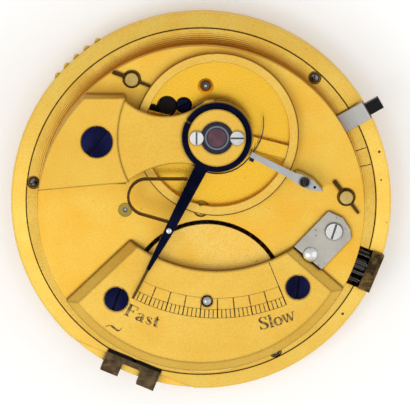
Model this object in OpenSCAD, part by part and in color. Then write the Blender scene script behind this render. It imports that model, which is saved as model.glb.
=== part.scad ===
// Pocket watch movement, lying dial side down on the rim of its brass edge.
// The origin is on the centre arbor's axis, in the plane of that rim. +Y is twelve o'clock of the back.

/* [Frame] */
// Outer radius of the brass edge
edge_r = 21; // [20.8:0.1:21.4]
// Depth of the recess for the winding and motion work
cavity_h = 2.9; // [2.9:0.05:3.1]
// Thickness of the pillar plate
plate_t = 2.1; // [2.05:0.05:2.3]
// Length of the pillars between the plates
pillar_h = 3.9; // [3.9:0.05:4.2]
// Radius of a pillar
pillar_r = 0.9; // [0.8:0.05:0.95]
// Radius of the top plate
top_r = 17.9; // [17.7:0.05:18]
// Thickness of the top plate
top_t = 1.4; // [1.3:0.05:1.6]
// Thickness of the barrel bridge
bridge_t = 1.2; // [1.1:0.05:1.4]
// Width of the bevel round the barrel bridge
bevel_w = 1; // [0.6:0.1:1.2]

/* [Case fittings] */
// Width of the hinge joint
hinge_w = 6.33; // [6:0.05:6.6]
// Width of each lug of the hinge joint
lug_w = 2.05; // [1.9:0.05:2.15]
// Radius of the hinge pin's hole
hinge_bore_r = 0.5; // [0.4:0.05:0.55]
// Width of the bolt that holds the movement in its case
bolt_w = 2; // [1.8:0.05:2.2]
// Radius of the holes for the dial's feet
dial_foot_r = 0.4; // [0.3:0.05:0.45]
// Travel of the bolt
bolt_travel = 0.8; // [0.5:0.05:0.9]

/* [Balance] */
// Outer radius of the balance
balance_r = 8.95; // [8.7:0.05:9.1]
// Width of the balance rim
rim_w = 1.02; // [0.8:0.02:1.2]
// Height of the balance rim
rim_t = 0.45; // [0.4:0.05:0.55]
// Turns of the balance spring
spring_turns = 6; // [5:1:6]
// Distance between the turns of the balance spring
spring_pitch = 0.53; // [0.52:0.01:0.54]
// Thickness of the balance spring's ribbon
spring_t = 0.1; // [0.08:0.01:0.1]

/* [Cock and regulator] */
// Height of the cock's foot over the top plate
cock_h = 3.7; // [3.7:0.05:4]
// Thickness of the cock's table
table_t = 0.75; // [0.65:0.05:0.8]
// Outer radius of the regulator's ring
index_r = 3.79; // [3.7:0.01:3.9]
// Width of the regulator's ring
index_w = 0.62; // [0.55:0.01:0.65]
// Reach of the pointer from the balance axis
pointer_reach = 20.26; // [19.8:0.02:20.4]
// Direction of the regulator at Fast
index_dir = -117; // [-118:0.5:-115]

/* [Going train] */
// Teeth of the great wheel
great_n = 70; // [66:1:74]
// Leaves of the centre pinion
centre_p = 12; // [12:1:12]
// Teeth of the centre wheel
centre_n = 80; // [76:1:84]
// Leaves of the third pinion
third_p = 10; // [10:1:10]
// Teeth of the third wheel
third_n = 75; // [72:1:78]
// Leaves of the fourth pinion
fourth_p = 10; // [10:1:10]
// Teeth of the fourth wheel
fourth_n = 64; // [60:1:66]
// Leaves of the escape pinion
escape_p = 8; // [8:1:8]
// Thickness of the train wheels
wheel_t = 0.42; // [0.36:0.02:0.44]

/* [Motion work] */
// Leaves of the cannon pinion
cannon_p = 12; // [12:1:12]
// Teeth of the minute wheel
minute_n = 36; // [36:1:36]
// Leaves of the minute pinion
minute_p = 10; // [10:1:10]
// Teeth of the hour wheel
hour_n = 40; // [40:1:40]

/* [Winding work] */
// Teeth of the ratchet wheel
ratchet_n = 46; // [45:1:48]
// Teeth round the crown wheel
crown_n = 32; // [31:1:33]
// Teeth on the face of the crown wheel
face_n = 28; // [28:1:28]
// Leaves of the winding pinion
winder_p = 10; // [10:1:10]
// Radius of the hole for the winding stem
stem_bore_r = 0.6; // [0.5:0.05:0.65]
// Width of the winding notch
notch_w = 4.4; // [4.3:0.05:4.5]

/* [Fits] */
// Play of a pivot in its hole
pivot_play = 0.03; // [0.02:0.01:0.05]
// Gap round the pillar plate in its seat
seat_gap = 0.1; // [0.06:0.01:0.12]
// Gap between pieces that slide past each other
slide_gap = 0.05; // [0.03:0.01:0.08]

/* [Hidden] */
$fn = 64;
over = 0.5;

// Colours of the finishes
gilt = "#e8bd4a";
steel = "#b9bbbd";
blued = "#141c3a";
bronze = "#4b3c28";
ruby = "#7c2038";

// Places in plan, seen from above
centre_at = [0, 0];
balance_at = [1.72, 8.36];
barrel_at = [0.65, -10.05];
third_at = [-8.3, -0.13];
fourth_at = [-8.18, 7.82];
escape_at = [-3.71, 11.29];
pallet_at = [0.51, 13.47];
minute_at = [-0.83, 4.73];
click_at = [-7.84, -5.15];
potence_at = [5.2, 6.2];
stud_at = [5.76, 6.2];
cock_screw_at = [-11.31, 7.82];
escape_screw_at = [-1.88, 11.39];
escape_pin_at = [-5.31, 10.83];
bridge_screw_at = [14.53, -2.4];
pinned_pillars = [[-7.56, 14.28], [15.88, 1.3]];
screwed_pillars = [[-9.26, -9.85], [10.6, -8.54]];
pin_dirs = [-21.4, -53];
hinge_dir = -112.5;
winding_dir = -22.5;
bolt_dir = 29.5;
stud_dir = -27.4;
edge_screw_dirs = [173.3, 47.8, -63.8];
dial_foot_dirs = [76, 196, 316];

// Levels, from the rest rim up
plate_z = cavity_h + plate_t;
top_z0 = plate_z + pillar_h;
top_z = top_z0 + top_t;
bridge_z = top_z + bridge_t;
foot_z = top_z + cock_h;
table_z = foot_z - 0.1;
table_z0 = table_z - table_t;
boss_z = table_z + 0.85;
rim_z0 = top_z + 1;
spring_h = 0.5;
spring_z0 = table_z0 - 0.35 - spring_h;
arm_z0 = spring_z0 + spring_h + slide_gap;
arm_z = arm_z0 + 0.5;
stem_z = plate_z - 0.8;
sink_z = plate_z - 1.3;
third_sink_z = plate_z - 0.62;
edge_screw_z = plate_z - 0.45;
centre_z0 = sink_z + 0.15;
third_z0 = third_sink_z + 0.15;
great_z0 = plate_z + 0.25;
great_z = great_z0 + 0.65;
cap_z = top_z - 0.4;
cap_z0 = cap_z - 0.4;
fourth_z0 = plate_z + 1.5;
lever_z0 = plate_z + 2.55;
oil_sink_z = top_z - 0.5;
lever_t = 0.4;
roller_z0 = lever_z0 + lever_t + 0.15;
winder_z0 = plate_z - 3.75;
winder_t = 0.9;
face_tooth_h = 0.65;
hour_z0 = 0.4;

// Radii of the frame
seat_r = edge_r - 1.65;
plate_r = seat_r - seat_gap;
ledge_r = seat_r - 1.25;
hinge_floor_z = plate_z - 1.6;
hinge_in_r = edge_r - 1.95;
hinge_flat_r = edge_r - 1.35;
hinge_pin_r = edge_r - 0.15;
screw_ring_r = seat_r - 0.75;
wheel_room = 0.2;
dial_foot_ring_r = seat_r - 3.65;
drum_r = 8.3;
opening_r = 8.8;
boss_r = index_r - index_w - pivot_play;

function polar(r, a) = [r * cos(a), r * sin(a)];
function heading(a, b) = atan2(b.y - a.y, b.x - a.x);
function arc(c, r, a0, a1, steps) = [for (i = [0:steps]) c + polar(r, a0 + (a1 - a0) * i / steps)];
function flip(points) = [for (i = [len(points) - 1:-1:0]) points[i]];

// A wheel's or pinion's outline: n teeth between two radii, w0 and w1 are widths as shares of the pitch
function teeth(n, r0, r1, w0, w1, turn) = [
    for (i = [0:n - 1])
        let (p = 360 / n, a = turn + i * p)
            each [polar(r0, a - w0 * p / 2), polar(r1, a - w1 * p / 2),
                  polar(r1, a + w1 * p / 2), polar(r0, a + w0 * p / 2)]
];

// Turn of wheel b that puts its teeth into the gaps of wheel a
function mesh_turn(a, na, ta, b, nb) =
    heading(a, b) + 180 - (360 / nb) * (0.5 - (heading(a, b) - ta) * na / 360);

// Pairs that mesh: module from the distance of the axes and the tooth counts
great_m = 2 * norm(barrel_at - centre_at) / (great_n + centre_p);
centre_m = 2 * norm(third_at - centre_at) / (centre_n + third_p);
third_m = 2 * norm(fourth_at - third_at) / (third_n + fourth_p);
fourth_m = 2 * norm(escape_at - fourth_at) / (fourth_n + escape_p);
cannon_m = 2 * norm(minute_at - centre_at) / (cannon_p + minute_n);
hour_m = 2 * norm(minute_at - centre_at) / (minute_p + hour_n);
face_r = 4.4;
winder_r = face_r * winder_p / face_n;
crown_reach = 12.94;
crown_at = polar(crown_reach, winding_dir);
winding_m = 2 * norm(crown_at - barrel_at) / (ratchet_n + crown_n);

great_turn = mesh_turn(centre_at, centre_p, 0, barrel_at, great_n);
third_pinion_turn = mesh_turn(centre_at, centre_n, 0, third_at, third_p);
fourth_pinion_turn = mesh_turn(third_at, third_n, third_pinion_turn, fourth_at, fourth_p);
escape_pinion_turn = mesh_turn(fourth_at, fourth_n, fourth_pinion_turn, escape_at, escape_p);
minute_turn = mesh_turn(centre_at, cannon_p, 0, minute_at, minute_n);
hour_turn = mesh_turn(minute_at, minute_p, minute_turn, centre_at, hour_n);
crown_turn = mesh_turn(barrel_at, ratchet_n, 0, crown_at, crown_n);

centre_tip_r = centre_m * centre_n / 2 + 0.9 * centre_m;
third_tip_r = third_m * third_n / 2 + 0.9 * third_m;
third_pinion_tip_r = centre_m * third_p / 2 + 0.65 * centre_m;
fourth_pinion_tip_r = third_m * fourth_p / 2 + 0.65 * third_m;
ratchet_tip_r = winding_m * ratchet_n / 2 + 0.9 * winding_m;
crown_tip_r = winding_m * crown_n / 2 + 0.9 * winding_m;

// Lever and escape wheel
escape_n = 15;
escape_r = 3.5;
lever_swing = 4;
pallet_clear = 0.27;
pallet_span = 85;
pallet_mid = heading(escape_at, pallet_at);
stone_l = 0.8;
stone_w = 0.35;
fork_dir = heading(pallet_at, balance_at);

module at(p, z = 0) {
    translate([p.x, p.y, z]) children();
}

// A turned disc between two levels
module disc(r, z0, z1) {
    translate([0, 0, z0]) cylinder(r = r, h = z1 - z0);
}

module ring(ro, ri, z0, z1) {
    difference() {
        disc(ro, z0, z1);
        disc(ri, z0 - over, z1 + over);
    }
}

// A rod along the radius that points to angle a, from r0 to r1, at level z
module radial_rod(r, a, r0, r1, z) {
    rotate([0, 0, a]) translate([r0, 0, z]) rotate([0, 90, 0]) cylinder(r = r, h = r1 - r0);
}

// A bar in plan from the origin, along angle a
module bar(a, l, w, z0, z1) {
    rotate([0, 0, a]) translate([0, -w / 2, z0]) cube([l, w, z1 - z0]);
}

module wheel_disc(n, m, turn, z0, z1) {
    rp = n * m / 2;
    translate([0, 0, z0]) linear_extrude(z1 - z0)
        polygon(teeth(n, rp - 1.3 * m, rp + 0.9 * m, 0.62, 0.26, turn));
}

module pinion(n, m, turn, z0, z1) {
    rp = n * m / 2;
    translate([0, 0, z0]) linear_extrude(z1 - z0)
        polygon(teeth(n, rp - 1.35 * m, rp + 0.65 * m, 0.5, 0.22, turn));
}

// A wheel crossed out to a rim, arms and a hub
module crossed_wheel(n, m, turn, z0, hub_r, bore_r, arms = 5) {
    arm_w = 0.75;
    rim_r = n * m / 2 - 1.3 * m - 0.7;
    z1 = z0 + wheel_t;
    difference() {
        wheel_disc(n, m, turn, z0, z1);
        difference() {
            ring(rim_r, hub_r, z0 - over, z1 + over);
            for (i = [0:arms - 1])
                bar(turn + (i + 0.3) * 360 / arms, rim_r + 1, arm_w, z0 - 2 * over, z1 + 2 * over);
        }
        disc(bore_r, z0 - over, z1 + over);
    }
}

// A slotted screw: the head stands on level z, the shank goes down to z0
module screw(head_r, head_h, shank_r, z, z0, slot_dir = 0) {
    slot_w = head_r * 0.26;
    slot_d = head_h * 0.6;
    difference() {
        union() {
            disc(head_r, z, z + head_h);
            disc(shank_r, z0, z + head_h * 0.3);
        }
        rotate([0, 0, slot_dir]) translate([-head_r - over, -slot_w / 2, z + head_h - slot_d])
            cube([2 * head_r + 2 * over, slot_w, slot_d + over]);
    }
}

// The rounded cap of a head, on level z
module dome(r, z) {
    drop = 0.85 * r;
    translate([0, 0, z]) intersection() {
        translate([0, 0, -drop]) sphere(r = norm([r, drop]));
        disc(r, 0, r);
    }
}

// A flat spiral ribbon from radius r0, ending at angle a1
module spiral(r0, pitch, turns, t, a1, z0, z1, steps) {
    function p(i, side) = polar(r0 + pitch * i / steps + side * t / 2, a1 - 360 * turns + 360 * i / steps);
    inner = [for (i = [0:turns * steps]) p(i, -1)];
    outer = [for (i = [0:turns * steps]) p(i, 1)];
    translate([0, 0, z0]) linear_extrude(z1 - z0) polygon(concat(outer, flip(inner)));
}

// Room for the winding pinion and its sleeve, open to the top
module winding_room(r0) {
    radial_rod(notch_w / 2, winding_dir, r0, edge_r + 1, stem_z);
    rotate([0, 0, winding_dir]) translate([r0, -notch_w / 2, stem_z])
        cube([edge_r + 1 - r0, notch_w, pillar_h]);
}

// Seat of the hinge joint and the flat beside it
module hinge_room() {
    rotate([0, 0, hinge_dir]) {
        translate([hinge_in_r, -hinge_w / 2, hinge_floor_z]) cube([4, hinge_w, 4]);
        translate([hinge_flat_r, -12, hinge_floor_z]) cube([4, 24, 4]);
    }
}

// Groove that guides the bolt
bolt_z0 = plate_z - 0.45;
bolt_z = plate_z + 1.1;
bolt_head_r = 0.7;
bolt_step_r = top_r - 0.1;
bolt_screw_r = bolt_step_r - bolt_travel - slide_gap - bolt_head_r;
bolt_in_r = bolt_screw_r - 0.85;
module bolt_groove() {
    w = bolt_w + 2 * slide_gap;
    rotate([0, 0, bolt_dir]) translate([bolt_in_r - bolt_travel - 0.3, -w / 2, bolt_z0 - slide_gap])
        cube([8, w, 3]);
}

// Frame

module brass_edge() {
    wall_z0 = 2.2;
    wall_z = plate_z - 0.9;
    register_r = edge_r - 0.6;
    undercut_z0 = wall_z0 - 0.4;
    undercut_r = register_r - 0.3;
    grip_r = 0.4;
    color(gilt) difference() {
        union() {
            rotate_extrude() polygon([
                [ledge_r, 0], [register_r, 0], [register_r, undercut_z0], [undercut_r, undercut_z0],
                [undercut_r, wall_z0], [edge_r, wall_z0], [edge_r, wall_z], [edge_r - 0.15, wall_z + 0.15],
                [seat_r, plate_z], [seat_r, cavity_h], [ledge_r, cavity_h]
            ]);
            for (i = [0:4])
                at(polar(edge_r - 0.12, 123 + 4 * i)) disc(grip_r, wall_z0, wall_z0 + 1);
        }
        hinge_room();
        winding_room(ledge_r - 1);
        at(crown_at) disc(crown_tip_r + wheel_room, winder_z0 - 0.5, cavity_h);
        at(barrel_at) disc(ratchet_tip_r + wheel_room, winder_z0 - 0.5, cavity_h);
        bolt_groove();
        for (a = edge_screw_dirs)
            at(polar(screw_ring_r, a)) disc(0.3, cavity_h - 1.2, cavity_h + over);
    }
}

module pillar_plate() {
    color(gilt) difference() {
        union() {
            disc(plate_r, cavity_h, plate_z);
            at(minute_at) disc(0.47, hour_z0 - 0.1, cavity_h + 0.2);
        }
        disc(centre_tip_r + 0.25, sink_z, plate_z + over);
        at(third_at) {
            disc(third_tip_r + 0.25, third_sink_z, plate_z + over);
            disc(third_pinion_tip_r + 0.2, sink_z, plate_z + over);
            disc(0.2 + pivot_play, cavity_h - over, plate_z);
        }
        at(fourth_at) {
            disc(fourth_pinion_tip_r + 0.2, third_sink_z - 0.1, plate_z + over);
            disc(0.2 + pivot_play, cavity_h - over, plate_z);
        }
        at(escape_at) disc(0.15 + pivot_play, cavity_h - over, plate_z + over);
        at(pallet_at) disc(0.15 + pivot_play, cavity_h - over, plate_z + over);
        at(centre_at) disc(0.6 + pivot_play, cavity_h - over, plate_z + over);
        at(barrel_at) disc(1.2 + pivot_play, cavity_h - over, plate_z + over);
        at(crown_at) disc(stud_r, cavity_h - over, plate_z + over);
        at(click_at) disc(0.45, cavity_h - over, cavity_h + 1);
        at(polar(bolt_screw_r, bolt_dir)) disc(0.45, cavity_h + 0.4, plate_z);
        for (a = edge_screw_dirs)
            at(polar(screw_ring_r, a)) {
                disc(0.3, cavity_h - over, plate_z + over);
                disc(0.72, edge_screw_z, plate_z + over);
            }
        for (a = dial_foot_dirs)
            at(polar(dial_foot_ring_r, a)) disc(dial_foot_r, cavity_h - over, plate_z + over);
        for (side = [-1, 1])
            at(pallet_at) rotate([0, 0, fork_dir]) translate([bank_reach, side * bank_offset, 0])
                disc(bank_r, plate_z - 0.8, plate_z + over);
        hinge_room();
        winding_room(crown_reach + face_r - 0.7);
        bolt_groove();
    }
}

module top_plate() {
    color(gilt) difference() {
        disc(top_r, top_z0, top_z);
        at(barrel_at) disc(opening_r, top_z0 - over, top_z + over);
        for (p = pinned_pillars)
            at(p) {
                disc(0.72, top_z0 - over, top_z + over);
                disc(1, top_z - 0.7, top_z + over);
            }
        for (p = screwed_pillars)
            at(p) disc(0.6, top_z0 - over, top_z + over);
        at(balance_at) disc(1.1, top_z0 - over, top_z + over);
        at(third_at) disc(0.75, top_z0 - over, top_z + over);
        at(pallet_at) {
            disc(0.6, top_z0 - over, oil_sink_z);
            translate([0, 0, oil_sink_z]) cylinder(r1 = 0.45, r2 = 0.95, h = top_z - oil_sink_z + 0.1);
        }
        at(fourth_at) disc(0.2 + pivot_play, top_z0 - over, top_z + over);
        at(centre_at) {
            disc(0.4 + pivot_play, top_z0 - over, top_z + over);
            disc(0.9, top_z - 0.4, top_z + over);
        }
        at(escape_at) disc(1.12, top_z0 - over, top_z + over);
        at(escape_screw_at) {
            disc(0.9, top_z - 0.8, top_z + over);
            disc(0.3, top_z0 - over, top_z);
        }
        at(escape_pin_at) disc(0.72, top_z - 1.1, top_z + over);
        at(cock_screw_at) disc(0.8, top_z0 + 0.3, top_z + over);
        at(stud_at) rotate([0, 0, stud_dir]) translate([6.2, 0, 0]) disc(0.3, top_z - 1, top_z + over);
        at(crown_at) disc(stud_r, top_z0 - over, top_z + over);
        at(bridge_screw_at) disc(0.45, top_z - 1, top_z + over);
    }
}

// Cuts a straight side with a bevel along the line from p to q, the piece lies on its left
module side_cut(p, q, z0, z1) {
    reach = 40;
    lean = bevel_w / (z1 - z0);
    at(p) rotate([0, 0, heading(p, q)]) translate([-reach / 2, 0, 0]) rotate([90, 0, 90])
        linear_extrude(norm(q - p) + reach)
            polygon([[-reach, top_z - over], [0, top_z - over], [0, z0],
                     [lean * (z1 + over - z0), z1 + over], [-reach, z1 + over]]);
}

module barrel_bridge() {
    inner_r = 15.1;
    left = [[-7.6, -3.3], [-15.2, -10.5]];
    right = [[10.25, -4.1], [16, -9.15]];
    edge_z = top_z + 0.4 * bridge_t;
    side_z = edge_z - 0.1;
    color(gilt) difference() {
        rotate_extrude() polygon([
            [0, top_z], [top_r, top_z], [top_r, edge_z], [top_r - bevel_w, bridge_z], [0, bridge_z]
        ]);
        at(balance_at) disc(inner_r, top_z - over, bridge_z + over);
        side_cut(left[0], left[1], side_z, bridge_z);
        side_cut(right[1], right[0], side_z, bridge_z);
        at(barrel_at) {
            disc(0.5 + pivot_play, top_z - over, bridge_z + over);
            translate([0, 0, bridge_z - 0.3]) cylinder(r1 = 0.5, r2 = 0.72, h = 0.4);
        }
        for (p = screwed_pillars)
            at(p) {
                disc(0.6, top_z - over, bridge_z + over);
                disc(1.3, bridge_z - 0.45, bridge_z + over);
            }
    }
}

module bridge_screws() {
    slots = [70, 85];
    color(blued) for (i = [0:1])
        at(screwed_pillars[i]) screw(1.3, 0.55, 0.6, bridge_z - 0.45, top_z0 - 1.6, slots[i]);
}

module pillar_shape(tip) {
    waist = pillar_r * 0.75;
    foot_h = 0.5;
    rotate_extrude() polygon([
        [0, plate_z], [pillar_r, plate_z], [pillar_r, plate_z + foot_h], [waist, plate_z + foot_h + 0.3],
        [waist, top_z0 - foot_h - 0.3], [pillar_r, top_z0 - foot_h], [pillar_r, top_z0], [0, top_z0]
    ]);
    if (tip)
        disc(0.72, top_z0 - 0.1, pin_z + 0.5);
}

// Taper pins lie on the top plate, through the pillar tips
pin_r = 0.22;
pin_l = 4.5;
pin_z = top_z + pin_r + 0.05;
module taper_pin(i) {
    at(pinned_pillars[i], pin_z) rotate([0, 0, pin_dirs[i]]) translate([-pin_l / 2, 0, 0])
        rotate([0, 90, 0]) cylinder(r1 = pin_r, r2 = pin_r * 0.6, h = pin_l);
}

module pillars() {
    color(gilt) {
        for (i = [0:1])
            difference() {
                at(pinned_pillars[i]) pillar_shape(true);
                taper_pin(i);
            }
        for (p = screwed_pillars)
            at(p) difference() {
                pillar_shape(false);
                disc(0.6, top_z0 - 1.6, top_z0 + over);
            }
    }
}

module pillar_pins() {
    color(gilt) for (i = [0:1])
        taper_pin(i);
}

module edge_screws() {
    head_r = 0.52;
    head_z = edge_screw_z + 0.22;
    slot_w = 0.14;
    color(steel) for (a = edge_screw_dirs)
        at(polar(screw_ring_r, a)) difference() {
            union() {
                disc(0.3, cavity_h - 1.2, edge_screw_z);
                disc(head_r, edge_screw_z, head_z);
                dome(head_r, head_z);
            }
            rotate([0, 0, a + 40]) translate([-1, -slot_w / 2, head_z]) cube([2, slot_w, 1]);
        }
}

module hinge_joint() {
    h = 1.75;
    depth = 2.55;
    gap = hinge_w - 2 * lug_w;
    color(bronze) rotate([0, 0, hinge_dir]) difference() {
        translate([hinge_in_r, -hinge_w / 2, hinge_floor_z]) cube([depth, hinge_w, h]);
        translate([hinge_in_r + 1, -gap / 2, hinge_floor_z - over]) cube([depth, gap, h + 2 * over]);
        translate([hinge_in_r, 0, hinge_floor_z - over]) cylinder(r = 0.35, h = h + 2 * over);
        translate([hinge_pin_r, -hinge_w, hinge_floor_z + h / 2]) rotate([-90, 0, 0])
            cylinder(r = hinge_bore_r, h = 2 * hinge_w);
    }
}

// Winding work

hub_r = 1.1;
winder_in_r = crown_reach + face_r - 0.45;
winder_end_r = seat_r + 0.25;

module winding_sleeve() {
    top_h = hub_r + pivot_play + 0.27;
    color(bronze) difference() {
        union() {
            radial_rod(notch_w / 2, winding_dir, winder_end_r + slide_gap, edge_r, stem_z);
            rotate([0, 0, winding_dir]) translate([winder_end_r + slide_gap, -notch_w / 2, stem_z])
                cube([edge_r - winder_end_r - slide_gap, notch_w, top_h]);
        }
        radial_rod(hub_r + pivot_play, winding_dir, seat_r, edge_r + 1, stem_z);
        rotate([0, 0, winding_dir]) translate([seat_r, -notch_w, stem_z + top_h])
            cube([4, 2 * notch_w, 4]);
    }
}

module winding_pinion() {
    leaf_r = winder_r + 0.24;
    root_r = winder_r - 0.42;
    color(steel) difference() {
        union() {
            rotate([0, 0, winding_dir]) translate([winder_in_r, 0, stem_z]) rotate([0, 90, 0])
                linear_extrude(winder_end_r - winder_in_r)
                    polygon(teeth(winder_p, root_r, leaf_r, 0.4, 0.24, 180 / winder_p));
            radial_rod(hub_r, winding_dir, winder_end_r - 0.1, edge_r - 0.2, stem_z);
        }
        radial_rod(stem_bore_r, winding_dir, winder_in_r - 1, edge_r + 1, stem_z);
    }
}

module crown_wheel() {
    face_w = 0.6;
    tooth_w = 0.3;
    face_z = winder_z0 + winder_t;
    color(steel) at(crown_at) difference() {
        union() {
            wheel_disc(crown_n, winding_m, crown_turn, winder_z0, face_z);
            for (i = [0:face_n - 1])
                rotate([0, 0, winding_dir + i * 360 / face_n])
                    translate([face_r - face_w / 2, -tooth_w / 2, face_z - 0.1])
                        cube([face_w, tooth_w, face_tooth_h + 0.1]);
        }
        disc(0.6 + pivot_play, winder_z0 - over, face_z + over);
    }
}

stud_r = 0.83;
stud_neck_r = 0.42;
steel_bridge_z = top_z + 0.75;
module crown_stud() {
    color(steel) at(crown_at) {
        disc(1.2, winder_z0 - 0.3, winder_z0 - slide_gap);
        disc(0.6, winder_z0 - 0.2, winder_z0 + winder_t + slide_gap);
        disc(1.1, winder_z0 + winder_t + slide_gap, cavity_h);
        disc(stud_r, cavity_h - 0.1, top_z);
        disc(stud_neck_r, top_z - 0.1, steel_bridge_z + 0.1);
        dome(stud_r, steel_bridge_z);
    }
}

module winding_bridge() {
    outline = [[10.2, -4.1], [13.92, -0.22], [15.48, -0.95], [16.3, -2.2], [16.4, -3.2], [13.2, -6.6]];
    color(steel) difference() {
        translate([0, 0, top_z]) linear_extrude(steel_bridge_z - top_z) polygon(outline);
        at(crown_at) disc(stud_neck_r, top_z - over, steel_bridge_z + over);
        at(bridge_screw_at) disc(0.45, top_z - over, steel_bridge_z + over);
    }
}

module shoulder_screws() {
    color(steel) {
        at(bridge_screw_at) screw(0.9, 0.4, 0.45, steel_bridge_z, top_z - 1, 72);
        at(click_at) mirror([0, 0, 1]) screw(0.9, 0.4, 0.45, -winder_z0 + slide_gap, -cavity_h - 1, 20);
        at(polar(bolt_screw_r, bolt_dir))
            screw(bolt_head_r, 0.4, 0.45, tail_z + slide_gap, cavity_h + 0.4, 0);
    }
}

module ratchet_wheel() {
    color(steel) at(barrel_at) difference() {
        wheel_disc(ratchet_n, winding_m, 0, winder_z0, winder_z0 + winder_t);
        translate([-square_w / 2, -square_w / 2, winder_z0 - over])
            cube([square_w, square_w, winder_t + 2 * over]);
    }
}

// The click stands off the tips of the ratchet teeth, so that the wheel turns past it
click_tip = barrel_at + polar(ratchet_tip_r + 0.12, 168);
click_dir = heading(click_at, click_tip);
click_l = norm(click_tip - click_at);
module click() {
    color(steel) at(click_at) difference() {
        union() {
            disc(1, winder_z0, winder_z0 + winder_t);
            rotate([0, 0, click_dir]) translate([0, 0, winder_z0]) linear_extrude(winder_t)
                polygon([[0, 0.8], [click_l, 0], [click_l - 0.3, -0.5], [0, -0.9]]);
        }
        disc(0.45 + pivot_play, winder_z0 - over, winder_z0 + winder_t + over);
    }
}

module click_spring() {
    t = 0.2;
    lean = click_dir - 8;
    foot = 0.55;
    color(blued) at(click_at) rotate([0, 0, lean]) {
        translate([-1.8, -1.35 - t, winder_z0 + 0.1]) cube([click_l + 1, t, winder_t - 0.2]);
        translate([-2.3, -1.35 - t / 2, winder_z0 + 0.1]) cylinder(r = foot, h = cavity_h - winder_z0 - 0.1);
    }
}

// Barrel

square_w = 1.7;
core_r = 1.8;
drum_wall = 0.5;

module barrel_drum() {
    color(gilt) at(barrel_at) difference() {
        union() {
            wheel_disc(great_n, great_m, great_turn, great_z0, great_z);
            disc(drum_r, great_z - 0.2, cap_z0);
        }
        disc(drum_r - drum_wall, great_z, cap_z0 + over);
        disc(1.2 + pivot_play, great_z0 - over, great_z + over);
    }
}

module barrel_cap() {
    color(gilt) at(barrel_at) ring(drum_r, 0.8 + pivot_play, cap_z0, cap_z);
}

module mainspring() {
    t = 0.24;
    turns = 7;
    r0 = core_r + 0.12 + t / 2;
    r1 = drum_r - drum_wall - 0.02 - t / 2;
    color(blued) at(barrel_at)
        spiral(r0, (r1 - r0) / turns, turns, t, 90, great_z + 0.1, cap_z0 - 0.1, 30);
}

module barrel_arbor() {
    color(steel) at(barrel_at) {
        disc(1.4, winder_z0 - 0.35, winder_z0);
        translate([-square_w / 2, -square_w / 2, winder_z0 - 0.1])
            cube([square_w, square_w, winder_t + 0.1]);
        disc(1.2, winder_z0 + winder_t, great_z + slide_gap);
        disc(core_r, great_z + slide_gap, cap_z0 - slide_gap);
        disc(0.8, cap_z0 - 0.2, top_z - slide_gap);
        disc(0.5, top_z - 0.2, bridge_z - 0.05);
        dome(0.5, bridge_z - 0.05);
    }
}

// Going train

module centre_arbor() {
    color(steel) {
        disc(0.6, hour_z0 - 0.15, sink_z + slide_gap);
        disc(0.75, sink_z + slide_gap, great_z0 - 0.1);
        pinion(centre_p, great_m, 0, great_z0 - 0.12, great_z - 0.02);
        disc(0.7, great_z - 0.1, top_z0 - slide_gap);
        disc(0.4, top_z0 - 0.2, top_z - 0.25);
    }
}

module centre_wheel() {
    color(gilt) crossed_wheel(centre_n, centre_m, 0, centre_z0, 1.6, 0.75);
}

module cannon_pinion() {
    color(steel) difference() {
        union() {
            pinion(cannon_p, cannon_m, 0, winder_z0 + 0.35, cavity_h - 0.3);
            disc(0.85, hour_z0 - 0.25, winder_z0 + 0.5);
        }
        disc(0.6, 0, cavity_h);
    }
}

module minute_wheel() {
    color(gilt) at(minute_at) difference() {
        union() {
            wheel_disc(minute_n, cannon_m, minute_turn, winder_z0 + 0.55, winder_z0 + 1.05);
            pinion(minute_p, hour_m, minute_turn, hour_z0 - 0.05, winder_z0 + 0.6);
        }
        disc(0.47 + pivot_play, hour_z0 - over, cavity_h);
    }
}

module hour_wheel() {
    color(gilt) difference() {
        union() {
            wheel_disc(hour_n, hour_m, hour_turn, hour_z0, hour_z0 + 0.4);
            disc(1.3, hour_z0 - 0.3, hour_z0 + 0.4);
        }
        disc(0.85 + pivot_play, 0, hour_z0 + 1);
    }
}

module third_arbor() {
    color(steel) at(third_at) {
        disc(0.2, cavity_h + 0.1, sink_z + 0.2);
        pinion(third_p, centre_m, third_pinion_turn, sink_z + 0.1, third_z0);
        disc(0.45, third_z0 - 0.1, top_z0 - slide_gap);
        disc(0.2, top_z0 - 0.2, top_z - 0.1);
    }
}

module third_wheel() {
    color(gilt) at(third_at) crossed_wheel(third_n, third_m, third_pinion_turn, third_z0, 1.3, 0.45, 4);
}

module third_bush() {
    color(gilt) at(third_at) ring(0.75, 0.2 + pivot_play, top_z0, top_z);
}

module fourth_arbor() {
    color(steel) at(fourth_at) {
        disc(0.2, cavity_h + 0.1, third_sink_z);
        pinion(fourth_p, third_m, fourth_pinion_turn, third_sink_z - 0.05, plate_z + 0.35);
        disc(0.45, plate_z + 0.2, top_z0 - slide_gap);
        disc(0.2, top_z0 - 0.2, top_z - 0.1);
    }
}

module fourth_wheel() {
    color(gilt) at(fourth_at) crossed_wheel(fourth_n, fourth_m, fourth_pinion_turn, fourth_z0, 1.2, 0.45);
}

// Escapement

module escape_arbor() {
    color(steel) at(escape_at) {
        disc(0.15, plate_z - 0.8, plate_z + 0.2);
        disc(0.35, plate_z + slide_gap, fourth_z0 - 0.1);
        pinion(escape_p, fourth_m, escape_pinion_turn, fourth_z0 - 0.2, fourth_z0 + wheel_t + 0.2);
        disc(0.3, fourth_z0, top_z0 - 0.6 - slide_gap);
        disc(0.15, top_z0 - 0.7, top_z0 - 0.1);
    }
}

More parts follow.
